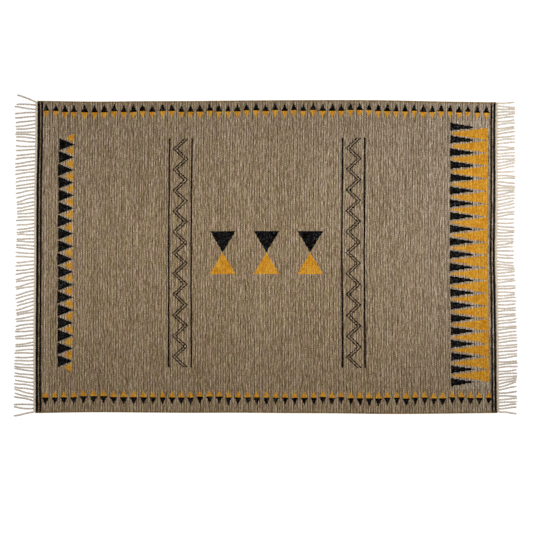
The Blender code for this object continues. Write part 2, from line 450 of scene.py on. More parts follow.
class NodeBench:
    """Makes the nodes of one material and wires them up."""

    def __init__(self, name: str) -> None:
        """Starts a material with a Principled shader."""
        self.material = bpy.data.materials.new(name)
        self.material.use_nodes = True
        self.tree = self.material.node_tree
        self.shader = self.tree.nodes["Principled BSDF"]

    def map_term(self, name: str) -> tuple[Term, Term]:
        """The two coordinates of a piece's own UV map."""
        node = self.tree.nodes.new("ShaderNodeUVMap")
        node.uv_map = name
        split = self.tree.nodes.new("ShaderNodeSeparateXYZ")
        self.tree.links.new(node.outputs["UV"], split.inputs[0])
        return Term(split.outputs["X"]), Term(split.outputs["Y"])

    def mark_term(self, name: str) -> Term:
        """A piece's own attribute."""
        node = self.tree.nodes.new("ShaderNodeAttribute")
        node.attribute_name = name
        return Term(node.outputs["Fac"])

    def place(self) -> bpy.types.NodeSocket:
        """The piece's Object coordinates."""
        return self.tree.nodes.new("ShaderNodeTexCoord").outputs["Object"]

    def pair(self, x: Term | float, y: Term | float) -> bpy.types.NodeSocket:
        """A vector of two terms."""
        node = self.tree.nodes.new("ShaderNodeCombineXYZ")
        feed(node.inputs["X"], x)
        feed(node.inputs["Y"], y)
        return node.outputs[0]

    def chance(self, x: Term | float, y: Term | float) -> Term:
        """An even random number from 0 to 1 for each pair of whole numbers."""
        node = self.tree.nodes.new("ShaderNodeTexWhiteNoise")
        node.noise_dimensions = "2D"
        self.tree.links.new(self.pair(x, y), node.inputs["Vector"])
        return Term(node.outputs["Value"])

    def cloud(self, x: Term | float, y: Term | float, detail: float = 0.0) -> Term:
        """Smooth noise about 0, about a half either way, over the plane of two terms."""
        node = self.tree.nodes.new("ShaderNodeTexNoise")
        node.noise_dimensions = "2D"
        node.inputs["Scale"].default_value = 1.0
        node.inputs["Detail"].default_value = detail
        self.tree.links.new(self.pair(x, y), node.inputs["Vector"])
        return Term(node.outputs["Fac"]) - 0.5

    def grain(self, scale: float, detail: float = 2.0) -> Term:
        """Smooth noise about 0 in the piece's own space, with so many cells a metre."""
        node = self.tree.nodes.new("ShaderNodeTexNoise")
        node.inputs["Scale"].default_value = scale
        node.inputs["Detail"].default_value = detail
        self.tree.links.new(self.place(), node.inputs["Vector"])
        return Term(node.outputs["Fac"]) - 0.5

    def mixed(self, share: Term | float, low: Paint, high: Paint) -> bpy.types.NodeSocket:
        """A colour mixed from two.

        Args:
            share: the share of the second.
            low: the first colour, or the socket that gives it.
            high: the second colour, or the socket that gives it.

        Returns:
            The socket of the mixed colour.
        """
        node = self.tree.nodes.new("ShaderNodeMix")
        node.data_type = "RGBA"
        feed(node.inputs["Factor"], share)
        for slot, colour in (("A", low), ("B", high)):
            socket = next(s for s in node.inputs if s.name == slot and s.type == "RGBA")
            if isinstance(colour, bpy.types.NodeSocket):
                self.tree.links.new(colour, socket)
            else:
                socket.default_value = (*colour, 1.0)
        return next(s for s in node.outputs if s.type == "RGBA")

    def shaded(self, colour: bpy.types.NodeSocket, shade: Term) -> bpy.types.NodeSocket:
        """A colour made lighter or darker, greyer as it lightens and browner as it darkens.

        Args:
            colour: the colour's socket.
            shade: how light it is, 0 leaving it as it is.

        Returns:
            The socket of the shaded colour.
        """
        factor = self.tree.nodes.new("ShaderNodeCombineXYZ")
        for slot, share in zip("XYZ", SHADE_SHARES):
            feed(factor.inputs[slot], (shade * share).growth())
        node = self.tree.nodes.new("ShaderNodeVectorMath")
        node.operation = "MULTIPLY"
        self.tree.links.new(colour, node.inputs[0])
        self.tree.links.new(factor.outputs[0], node.inputs[1])
        return node.outputs[0]

    def finish(
        self,
        colour: bpy.types.NodeSocket,
        height: Term,
        depth: float,
        roughness: float,
        gloss: float,
    ) -> bpy.types.Material:
        """Wires colour and relief to the shader.

        Args:
            colour: the colour's socket.
            height: the relief, from 0 to 1.
            depth: how deep the relief is, in metres.
            roughness: the shader's roughness.
            gloss: the shader's specular level.

        Returns:
            The material.
        """
        bump = self.tree.nodes.new("ShaderNodeBump")
        bump.inputs["Distance"].default_value = depth
        feed(bump.inputs["Height"], height)
        self.tree.links.new(bump.outputs["Normal"], self.shader.inputs["Normal"])
        self.tree.links.new(colour, self.shader.inputs["Base Color"])
        self.shader.inputs["Roughness"].default_value = roughness
        self.shader.inputs["Specular IOR Level"].default_value = gloss
        return self.material


@dataclass(frozen=True)
class Board:
    """The weave's places on the flat cut, as terms that the woven patterns read.

    The picks are the weft's passes along Y, numbered from the left end, and the warps run
    along X, numbered from the near side. A pattern changes only from pick to pick and from
    warp to warp, so its slanting edges are stepped.
    """

    bench: NodeBench
    u: Term
    v: Term
    pick: Term
    pick_u: Term
    warp_v: Term
    over: Term


def lay_board(bench: NodeBench) -> Board:
    """Works out the picks and warps of a woven material.

    Args:
        bench: the material's nodes.

    Returns:
        The board, measured from the middle of the cut.
    """
    u, v = bench.map_term(FLAT_MAP)
    passes, threads = u / PICK, v / WARP
    border = passes.nearest()
    sway = ((threads + border) * math.pi).cosine() * BEAT
    pick = border - 1.0 + passes.above(border + sway)
    warp = threads.floor()
    over = ((threads + pick) * math.pi).cosine()
    return Board(
        bench,
        u - FIELD_LENGTH / 2,
        v - FIELD_WIDTH / 2,
        pick,
        (pick + 0.5) * PICK - FIELD_LENGTH / 2,
        (warp + 0.5) * WARP - FIELD_WIDTH / 2,
        over,
    )


class Woven(NamedTuple):
    """What a pattern covers: shares of black, of yellow and of pale ground yarn."""

    black: Term
    yellow: Term | None = None
    pale: Term | None = None


def any_of(shapes: Iterable[Term]) -> Term:
    """1 where any of the shapes is, else 0."""
    return reduce(Term.most, shapes)


class Wander(NamedTuple):
    """A small random difference: the row of random numbers it reads, and its whole reach."""

    row: float
    reach: float

    def of(self, bench: NodeBench, number: Term, side: Term | float = 0.0) -> Term:
        """The difference that a numbered shape gets."""
        return (bench.chance(number, side + self.row) - 0.5) * self.reach


class YarnCloud(NamedTuple):
    """Smooth noise on the yarn: the picks and metres that a patch takes, and its strength."""

    picks: float
    run: float
    strength: float
    offset: float = 0.0

    def on(self, board: Board) -> Term:
        """Its value on the weave, about 0."""
        cloud = board.bench.cloud(board.pick / self.picks + self.offset, board.v / self.run)
        return cloud * self.strength


class ClothCloud(NamedTuple):
    """Smooth noise on the cloth: its patches a metre along and across, and its strength."""

    along: float
    across: float
    strength: float
    offset: float = 0.0
    detail: float = 0.0

    def on(self, board: Board) -> Term:
        """Its value on the cloth, about 0."""
        across = board.v * self.across + self.offset
        return board.bench.cloud(board.u * self.along, across, self.detail) * self.strength


class Shade(NamedTuple):
    """How much of the streaks, with their painted rib shade, and of the tufts shades a colour."""

    streaks_and_rib_shade: float
    tufts: float

    def of(self, streaks_and_rib_shade: Term, tufts: Term) -> Term:
        """The shade, 0 leaving a colour as it is."""
        return streaks_and_rib_shade * self.streaks_and_rib_shade + tufts * self.tufts


@dataclass(frozen=True)
class EndStripes:
    """The two dark stripes along each end, with pale yarn beside some of them."""

    stripes: tuple[StripeRow, ...] = STRIPE_ROWS
    scallop: float = 0.0011
    wander: float = 0.0012
    edge_waves: float = 90.0
    edge_change: float = 0.3
    middle_waves: float = 22.0
    middle_change: float = 9.0
    between_pale: float = 2.4
    inner_line: tuple[float, float] = (-0.851, -0.842)
    inner_pale: float = 0.8

    def stripe(self, board: Board, row: StripeRow, edge: Term) -> Term:
        """1 where one stripe is: its middle wanders a little, and so does its edge."""
        cloud = board.bench.cloud(board.v * self.middle_waves, row.at * self.middle_change)
        return (board.u - row.at + cloud * self.wander).size().below(edge + row.half_width)

    def weave(self, board: Board) -> Woven:
        """The stripes' share of black, and the pale yarn beside them."""
        cloud = board.bench.cloud(board.v * self.edge_waves, board.pick * self.edge_change)
        edge = board.over * self.scallop + cloud * self.wander
        black = any_of(self.stripe(board, row, edge) for row in self.stripes)
        between = board.u.between(self.stripes[2].at, self.stripes[3].at)
        pale = between * self.between_pale + board.u.between(*self.inner_line) * self.inner_pale
        return Woven(black, pale=pale)


@dataclass(frozen=True)
class TriangleBorder:
    """The row of small triangle pairs along each long side, black outside and yellow inside."""

    far_base: float = 0.5574
    near_base: float = -0.5404
    black_height: float = 0.0300
    yellow_height: float = 0.0255
    black_half: float = 0.0130
    yellow_half: float = 0.0123
    tip_half: float = 0.0006
    flare: float = 1.15
    pitch: float = 0.0361
    count: int = 48
    shift: Wander = Wander(3.0, 0.0022)
    height_wander: Wander = Wander(8.0, 0.0040)
    half_wander: Wander = Wander(13.0, 0.0030)
    lift_row: float = 21.0
    level_share: float = 0.67

    def weave(self, board: Board) -> Woven:
        """The triangles' shares of black and yellow."""
        bench = board.bench
        run = bench.mark_term(RUN_MARK) + (board.pick_u - board.u) / self.pitch
        number = run.nearest()
        far = board.v.above(0.0)
        inside = number.above(-0.5) * number.below(self.count - 0.5)
        across = ((run - number) * self.pitch + self.shift.of(bench, number, far)).size()
        base = far * (self.far_base - self.near_base) + self.near_base
        base = base + bench.chance(number, far + self.lift_row).above(self.level_share) * WARP
        out = (board.warp_v - base) * (far * 2.0 - 1.0)
        outside = out.above(0.0)
        tall = self.height_wander.of(bench, number, far) + self.yellow_height
        tall = tall + outside * (self.black_height - self.yellow_height)
        wide = self.half_wander.of(bench, number, far) + self.yellow_half
        wide = wide + outside * (self.black_half - self.yellow_half)
        left = (tall - out.size()).joined("DIVIDE", tall).kept()
        slope = wide * left.joined("POWER", self.flare)
        shape = across.below(slope + self.tip_half) * left.above(0.0) * inside
        return Woven(shape * outside, shape * out.below(0.0))


@dataclass(frozen=True)
class LeftTeeth:
    """The column of black triangles near the left end, with small yellow ones between."""

    base: float = -0.7993
    middle: float = 0.0162
    pitch: float = 0.0491
    blacks: int = 18
    black_half: float = 0.0243
    black_length: float = 0.0600
    yellow_from: float = 0.0253
    yellow_to: float = 0.0560
    yellow_slope: float = 0.60
    yellow_half: float = 0.0168
    pale_from: float = -0.001
    pale_past: float = 0.002
    wobble: Wander = Wander(31.0, 0.0026)

    def weave(self, board: Board) -> Woven:
        """The column's shares of black, yellow and pale yarn."""
        reach = self.blacks / 2 * self.pitch
        place = (board.warp_v - self.middle) / self.pitch + 0.5 * (self.blacks % 2 == 0)
        number = place.nearest()
        out = board.pick_u - self.base + self.wobble.of(board.bench, number)
        off = (place - number).size() * self.pitch
        half = (1.0 - out / self.black_length) * self.black_half
        along = board.warp_v - self.middle
        in_blacks = along.size().below(reach)
        black = off.below(half) * out.above(0.0) * in_blacks
        other = (place - place.floor() - 0.5).size() * self.pitch
        yellow_half = ((out - self.yellow_from) * self.yellow_slope).least(self.yellow_half)
        yellow_all = along.size().below(reach + self.pitch / 2)
        out_yellow = out.between(self.yellow_from, self.yellow_to)
        yellow = other.below(yellow_half) * out_yellow * yellow_all
        pale = out.between(self.pale_from, self.yellow_to + self.pale_past) * in_blacks
        return Woven(black, yellow, pale)


@dataclass(frozen=True)
class RightTeeth:
    """The broad column at the right end: long yellow teeth, with stepped black ones between."""

    base: float = 0.7082
    end: float = 0.8540
    middle: float = 0.0111
    pitch: float = 0.0491
    blacks: int = 21
    black_half: float = 0.0156
    black_length: float = 0.0870
    fleck_end: float = 0.1280
    fleck_half: float = 0.0020
    fleck_least: float = 0.62
    fleck_share: float = 0.55
    yellow_from: float = 0.0015
    yellow_least: float = 0.0021
    yellow_step: float = 0.0036
    yellow_run: float = 0.0247
    yellow_start: float = 0.0107
    pale_from: float = -0.001
    wobble: Wander = Wander(57.0, 0.0050)

    def weave(self, board: Board) -> Woven:
        """The column's shares of black, yellow and pale yarn."""
        bench = board.bench
        reach = (self.blacks - 1) / 2 * self.pitch
        place = (board.warp_v - self.middle) / self.pitch
        number = place.nearest()
        wobble = self.wobble.of(bench, number)
        out = board.pick_u - self.base
        off = (place - number).size() * self.pitch
        along = board.warp_v - self.middle
        half: Term = self.black_half - out.above(TOOTH_STEPS[0].at) * TOOTH_STEPS[0].narrower
        for step in TOOTH_STEPS[1:]:
            half = half - (out + wobble).above(step.at) * step.narrower
        in_blacks = along.size().below(reach + self.pitch / 2)
        tooth = off.below(half) * out.above(0.0) * (out + wobble).below(self.black_length)
        flecks = off.below(self.fleck_half) * out.between(self.black_length, self.fleck_end)
        fleck = flecks * bench.chance(board.pick, number).above(self.fleck_least) * self.fleck_share
        black = tooth.most(fleck) * in_blacks
        other = (place - place.floor() - 0.5).size() * self.pitch
        steps = ((out + self.yellow_start) / self.yellow_run).floor()
        yellow_half = steps * self.yellow_step + self.yellow_least
        band = out.between(self.yellow_from, self.end - self.base) * along.size().below(reach)
        yellow = other.below(yellow_half) * band
        pale = out.between(self.pale_from, self.end - self.base) * in_blacks
        return Woven(black, yellow, pale)


@dataclass(frozen=True)
class ZigzagBands:
    """Two upright bands of the middle, each a double zigzag between plain lines."""

    centres: tuple[float, float] = (-0.330, 0.336)
    middle: float = 0.016
    half_length: float = 0.440
    swing: float = 0.021
    wave: float = 0.080
    thread: float = 0.0033
    twin: float = 0.0065
    rail: float = 0.043

    def lines(self, board: Board, centre: float, swing: Term) -> Term:
        """1 on one band's two zigzags, each off the swing to its side, and on its two rails."""
        zigzags = ((board.pick_u - centre - swing).size() - self.twin).size().below(self.thread)
        rails = ((board.u - centre).size() - self.rail).size().below(self.thread)
        return zigzags.most(rails)

    def weave(self, board: Board) -> Woven:
        """The bands' share of black."""
        place = (board.warp_v - self.middle) / self.wave
        swing = ((place - place.nearest()).size() * 4.0 - 1.0) * self.swing
        within = (board.warp_v - self.middle).size().below(self.half_length)
        return Woven(any_of(self.lines(board, centre, swing) for centre in self.centres) * within)


@dataclass(frozen=True)
class Hourglasses:
    """Three hourglass shapes of the middle, each black above and yellow below."""

    centres: tuple[float, ...] = (-0.165, 0.003, 0.171)
    middle: float = 0.016
    half_width: float = 0.050
    half_height: float = 0.083

    def weave(self, board: Board) -> Woven:
        """The shapes' shares of black and yellow."""
        up = board.warp_v - self.middle
        side = up.size() * (self.half_width / self.half_height)
        shape = any_of((board.pick_u - centre).size().below(side) for centre in self.centres)
        shape = shape * up.size().below(self.half_height)
        return Woven(shape * up.above(0.0), shape * up.below(0.0))


@dataclass(frozen=True)
class WoolFinish:
    """The woven wool: heathered ground, black and yellow patterns, and brown selvedges, with
    painted rib shade and a painted slow change of light.
    """

    ground: tuple[Tint, Tint] = ((0.1705, 0.1170, 0.0752), (0.1620, 0.1200, 0.0652))
    pale: tuple[Tint, Tint] = ((0.250, 0.198, 0.150), (0.232, 0.190, 0.128))
    # Painted light: the lighter, greyer tint that the ground turns towards in its painted slow
    # change of shade.
    painted_light: Tint = (0.1730, 0.1330, 0.0930)
    black: tuple[Tint, Tint] = ((0.0021, 0.0016, 0.0012), (0.0033, 0.0026, 0.0019))
    yellow: tuple[Tint, Tint] = ((0.350, 0.141, 0.0080), (0.382, 0.196, 0.0225))
    selvedge: tuple[Tint, Tint] = ((0.170, 0.104, 0.040), (0.104, 0.065, 0.032))
    whip: Tint = (0.265, 0.165, 0.032)
    selvedge_width: float = 0.0058
    whip_width: float = 0.0022
    rim_black: float = 0.6
    whip_share: float = 0.95
    whip_spots: float = 0.45
    rim_wander: ClothCloud = ClothCloud(60.0, 0.0, 0.002, 4.0)
    rim_spots: tuple[ClothCloud, ClothCloud] = (
        ClothCloud(35.0, 0.0, 1.8, 2.0),
        ClothCloud(140.0, 0.0, 1.8, 7.0),
    )
    rib: float = 0.0108
    rib_share: float = 0.31
    rib_fade: YarnCloud = YarnCloud(4.0, 0.024, 1.6, 1700.0)
    fine_rib: float = 0.0087
    fine_turn: float = 0.8
    fine_share: float = 0.43
    fine_fade: YarnCloud = YarnCloud(3.0, 0.016, 1.9, 2100.0)
    turns: tuple[YarnCloud, YarnCloud] = (
        YarnCloud(16.0, 0.170, 6.0, 1200.0),
        YarnCloud(6.0, 0.048, 3.4, 1500.0),
    )
    lights: tuple[YarnCloud | ClothCloud, ...] = (
        YarnCloud(3.4, 0.400, 0.4),
        YarnCloud(3.0, 0.040, 0.15, 300.0),
        YarnCloud(1.9, 0.0085, 0.5, 600.0),
        YarnCloud(1 / 7.31, 1 / 45.0, 0.35),
        ClothCloud(900.0, 500.0, 0.3),
    )
    contrast: float = 0.97
    pressed: float = 0.24
    tuft: float = 0.0046
    hue_yarn: YarnCloud = YarnCloud(3.1, 0.05, 1.2, 900.0)
    hue_cloth: ClothCloud = ClothCloud(30.0, 26.0, 2.2, 50.0, 1.0)
    band: ClothCloud = ClothCloud(26.0, 1.3, 0.22, 9.0, 1.0)
    # Painted light: how much lighter and greyer the ground is painted towards both ends, towards
    # the right and towards the far side.
    painted_light_ends: float = 0.5
    painted_light_along: float = 0.35
    painted_light_across: float = 0.5
    pale_share: float = 0.4
    gold_tufts: float = 1.7
    ground_shade: Shade = Shade(1.0, 0.55)
    gold_shade: Shade = Shade(0.30, 0.38)
    dark_shade: Shade = Shade(0.8, 5.0)
    deep_shade: Shade = Shade(0.6, 2.4)
    rim_shade: Shade = Shade(0.7, 1.0)
    twist: ClothCloud = ClothCloud(420.0, 210.0, 0.35)
    over_relief: float = 0.38
    relief: float = 0.0009
    roughness: float = 0.95
    gloss: float = 0.02

    def streaks_and_rib_shade(self, board: Board) -> Term:
        """How light each bit of yarn is, about 0: its own uneven tone, with painted shade of ribs
        of a few picks, long and short.
        """
        turn = self.turns[0].on(board) + self.turns[1].on(board)
        # Painted shade: the ribs' light ridges and dark grooves, put into the colour as two waves
        # along the picks.
        rib = (board.pick * (2 * math.pi * PICK / self.rib) + turn).cosine()
        fine = (board.pick * (2 * math.pi * PICK / self.fine_rib) - turn * self.fine_turn).cosine()
        light = rib * (self.rib_fade.on(board) + self.rib_share)
        light = light + fine * (self.fine_fade.on(board) + self.fine_share)
        for cloud in self.lights:
            light = light + cloud.on(board)
        return light * self.contrast - light * light * self.pressed

    def ground_paint(self, board: Board, hue: Term, woven: list[Woven]) -> bpy.types.NodeSocket:
        """The ground's colour with its painted light, before it is shaded.

        Args:
            board: the weave's places.
            hue: which of its two dyes the yarn has, from 0 to 1.
            woven: what each pattern covers.

        Returns:
            The colour's socket.
        """
        bench = board.bench
        # Painted light: a slow change of shade, lighter and greyer towards both ends, towards the
        # right and towards the far side.
        outward = board.u.size() * (2 / FIELD_LENGTH)
        painted_light = outward * outward * self.painted_light_ends
        painted_light = painted_light + board.u * self.painted_light_along + board.v * self.painted_light_across
        colour = bench.mixed(painted_light.kept(), bench.mixed(hue, *self.ground), self.painted_light)
        for part in woven:
            if part.pale is not None:
                pale = bench.mixed(hue, *self.pale)
                colour = bench.mixed((part.pale * self.pale_share).kept(), colour, pale)
        return colour

    def rim_paint(
        self, board: Board, cloth: bpy.types.NodeSocket, stripes: Term, shade: Term
    ) -> bpy.types.NodeSocket:
        """The cloth's colour with the selvedges' browns over both long edges.

        Args:
            board: the weave's places.
            cloth: the colour of the cloth.
            stripes: the end stripes' share of black, which shows through.
            shade: how light the selvedge is, painted rib shade included.

        Returns:
            The colour's socket.
        """
        bench = board.bench
        inward = FIELD_WIDTH / 2 - board.v.size() + self.rim_wander.on(board)
        spots = (self.rim_spots[0].on(board) + self.rim_spots[1].on(board) + 0.5).kept()
        whip = inward.below(self.whip_width) * (self.whip_share - spots * self.whip_spots)
        rim = bench.mixed(whip, bench.mixed(spots, *self.selvedge), self.whip)
        bound = inward.below(self.selvedge_width) * (1.0 - stripes * self.rim_black)
        return bench.mixed(bound, cloth, bench.shaded(rim, shade))

    def make(self) -> bpy.types.Material:
        """Makes the material.

        Returns:
            The finished material.
        """
        bench = NodeBench("woven_wool")
        board = lay_board(bench)
        patterns = (
            EndStripes(),
            TriangleBorder(),
            LeftTeeth(),
            RightTeeth(),
            ZigzagBands(),
            Hourglasses(),
        )
        woven = [pattern.weave(board) for pattern in patterns]
        # The streaks carry the yarn's own tone and painted rib shade into every colour below.
        streaks_and_rib_shade = self.streaks_and_rib_shade(board)
        tufts = bench.chance(board.pick, (board.v / self.tuft).floor()) - 0.5
        hue = (self.hue_yarn.on(board) + self.hue_cloth.on(board) + 0.5).kept()
        shade = self.ground_shade.of(streaks_and_rib_shade, tufts) + self.band.on(board)
        colour = bench.shaded(self.ground_paint(board, hue, woven), shade)
        gold = bench.mixed((hue + tufts * self.gold_tufts).kept(), *self.yellow)
        gold = bench.shaded(gold, self.gold_shade.of(streaks_and_rib_shade, tufts))
        for part in woven:
            if part.yellow is not None:
                colour = bench.mixed(part.yellow, colour, gold)
        dark = bench.shaded(bench.mixed(hue, *self.black), self.dark_shade.of(streaks_and_rib_shade, tufts))
        deep = bench.shaded(bench.mixed(hue, *self.black), self.deep_shade.of(streaks_and_rib_shade, tufts))
        for part in woven:
            colour = bench.mixed(part.black, colour, deep if part is woven[0] else dark)
        colour = self.rim_paint(board, colour, woven[0].black, self.rim_shade.of(streaks_and_rib_shade, tufts))
        relief = (board.over * self.over_relief + 0.5 + self.twist.on(board)).kept()
        return bench.finish(colour, relief, self.relief, self.roughness, self.gloss)


@dataclass(frozen=True)
class YarnFinish:
    """The fringe's cream warp yarn, with its plies, its fibres and a little browning."""

    light: Tint = (0.480, 0.410, 0.335)
    dull: Tint = (0.375, 0.315, 0.250)
    root: Tint = (0.440, 0.350, 0.225)
    root_fade: float = 9.0
    root_share: float = 0.75
    fibre_cells: float = 1600.0
    fibre_share: float = 0.5
    patch_cells: float = 60.0
    patch_share: float = 1.2
    tone_share: float = 0.6
    least_share: float = 0.2
    relief: float = 0.0004
    roughness: float = 0.9
    gloss: float = 0.15

    def make(self) -> bpy.types.Material:
        """Makes the material.

        Returns:
            The finished material.
        """
        bench = NodeBench("fringe_yarn")
        along, _ = bench.map_term(FLAT_MAP)
        tone = bench.mark_term(TONE_MARK)
        fibre = bench.grain(self.fibre_cells, 1.0)
        patch = bench.grain(self.patch_cells)
        share = tone * self.tone_share + patch * self.patch_share + fibre * self.fibre_share
        colour = bench.mixed((share + self.least_share).kept(), self.light, self.dull)
        browned = (1.0 - along * self.root_fade).kept() * self.root_share
        colour = bench.mixed(browned, colour, self.root)
        return bench.finish(colour, (fibre + 0.5).kept(), self.relief, self.roughness, self.gloss)


@dataclass(frozen=True)
class FloorFinish:
    """The pale studio floor, lit enough to read as white."""

    colour: tuple[Tint, Tint] = ((0.12, 0.12, 0.12), (0.13, 0.13, 0.13))
    glow: float = 0.93
    cloud_cells: float = 3.0
    grain_cells: float = 400.0
    relief: float = 0.0001
    roughness: float = 0.8
    gloss: float = 0.1

    def make(self) -> bpy.types.Material:
        """Makes the material.

        Returns:
            The finished material.
        """
        bench = NodeBench("studio_floor")
        colour = bench.mixed((bench.grain(self.cloud_cells) * 0.5 + 0.5).kept(), *self.colour)
        bench.shader.inputs["Emission Color"].default_value = (1.0, 1.0, 1.0, 1.0)
        bench.shader.inputs["Emission Strength"].default_value = self.glow
        grain = (bench.grain(self.grain_cells) + 0.5).kept()
        return bench.finish(colour, grain, self.relief, self.roughness, self.gloss)


@dataclass(frozen=True)
class Marks:
    """What a mesh has at each point: a place on two maps, and a value of one named mark."""

    flat: np.ndarray
    bake: np.ndarray
    name: str
    values: np.ndarray


def make_piece(
    name: str,
    points: np.ndarray,
    faces: Sequence[Sequence[int]] | np.ndarray,
    marks: Marks,
    material: bpy.types.Material,
    flat_faces: int = 0,
) -> bpy.types.Object:
    """Makes an object.

    Args:
        name: its name.
        points: its points.
        faces: its faces, by point.
        marks: what it has at each point.
        material: its material.
        flat_faces: how many of its last faces are shaded flat.

    Returns:
        The new object.
    """
    mesh = bpy.data.meshes.new(name)
    mesh.from_pydata(points, [], faces)
    mesh.validate()
    corners = np.empty(len(mesh.loops), np.int32)
    mesh.loops.foreach_get("vertex_index", corners)
    for label, places in ((FLAT_MAP, marks.flat), (BAKE_MAP, marks.bake)):
        layer = mesh.uv_layers.new(name=label)
        layer.data.foreach_set("uv", places[corners].astype(np.float32).ravel())
    mark = mesh.attributes.new(marks.name, "FLOAT", "POINT")
    mark.data.foreach_set("value", marks.values.astype(np.float32))
    mesh.materials.append(material)
    count = len(mesh.polygons)
    mesh.polygons.foreach_set("use_smooth", np.arange(count) < count - flat_faces)
    piece = bpy.data.objects.new(name, mesh)
    bpy.context.scene.collection.objects.link(piece)
    return piece


class MeshParts:
    """Gathers the points, faces and marks of one piece."""

    def __init__(self) -> None:
        """Starts with nothing."""
        self.points: list[np.ndarray] = []
        self.faces: list[np.ndarray] = []
        self.along: list[np.ndarray] = []
        self.bake: list[np.ndarray] = []
        self.tone: list[np.ndarray] = []
        self.count = 0

    def add(
        self,
        points: np.ndarray,
        faces: np.ndarray,
        along: np.ndarray,
        bake: np.ndarray,
        tone: float,
    ) -> None:
        """Adds a shape.

        Args:
            points: its points.
            faces: its four-sided faces, by its own points.
            along: how far along its yarn each point is, from 0 at the root.
            bake: each point's place on the bake map.
            tone: how dull its yarn is, from 0 to 1.
        """
        self.points.append(points)
        self.faces.append(faces + self.count)
        self.along.append(along)
        self.bake.append(bake)
        self.tone.append(np.full(len(points), tone))
        self.count += len(points)

    def make(self, name: str, material: bpy.types.Material) -> bpy.types.Object:
        """Turns what was gathered into an object.

        Args:
            name: the object's name.
            material: its material.

        Returns:
            The new object.
        """
        along, bake = np.concatenate(self.along), np.concatenate(self.bake)
        flat = np.stack([along, np.zeros_like(along)], axis=1)
        marks = Marks(flat, bake, TONE_MARK, np.concatenate(self.tone))
        points, faces = np.concatenate(self.points), np.concatenate(self.faces)
        return make_piece(name, points, faces, marks, material)


def grid_faces(rows: int, columns: int, closed: bool) -> np.ndarray:
    """Four-sided faces between rows of points.

    Args:
        rows: how many rows.
        columns: how many points a row has.
        closed: whether each row runs round to its start, with a cap over the first and last.

    Returns:
        The faces, by point.
    """
    spans = columns if closed else columns - 1
    row, column = np.meshgrid(np.arange(rows - 1), np.arange(spans), indexing="ij")
    after = (column + 1) % columns
    corners = [row * columns + column, row * columns + after]
    corners += [(row + 1) * columns + after, (row + 1) * columns + column]
    faces = np.stack(corners, axis=-1).reshape(-1, 4)
    if not closed:
        return faces
    near = np.arange(columns // 2 - 1)
    cap = np.stack([near, near + 1, columns - 2 - near, columns - 1 - near], axis=-1)
    return np.concatenate([faces, cap[:, ::-1], cap + (rows - 1) * columns])


@dataclass(frozen=True)
class Ripple:
    """A wave along and across the cloth, in radians a metre, whose crests may bend."""

    along: float
    across: float
    along_start: float = 0.0
    across_start: float = 0.0
    along_bend: float = 0.0
    along_bend_waves: float = 0.0
    across_bend: float = 0.0
    across_bend_waves: float = 0.0

    def at(self, u: np.ndarray, v: np.ndarray) -> np.ndarray:
        """Its height at places of the cut, from -1 to 1."""
        along_bend = self.along_bend * np.sin(self.along_bend_waves * v)
        across_bend = self.across_bend * np.sin(self.across_bend_waves * u)
        along = np.sin(self.along * u + self.along_start + along_bend)
        return along * np.sin(self.across * v + self.across_start + across_bend)


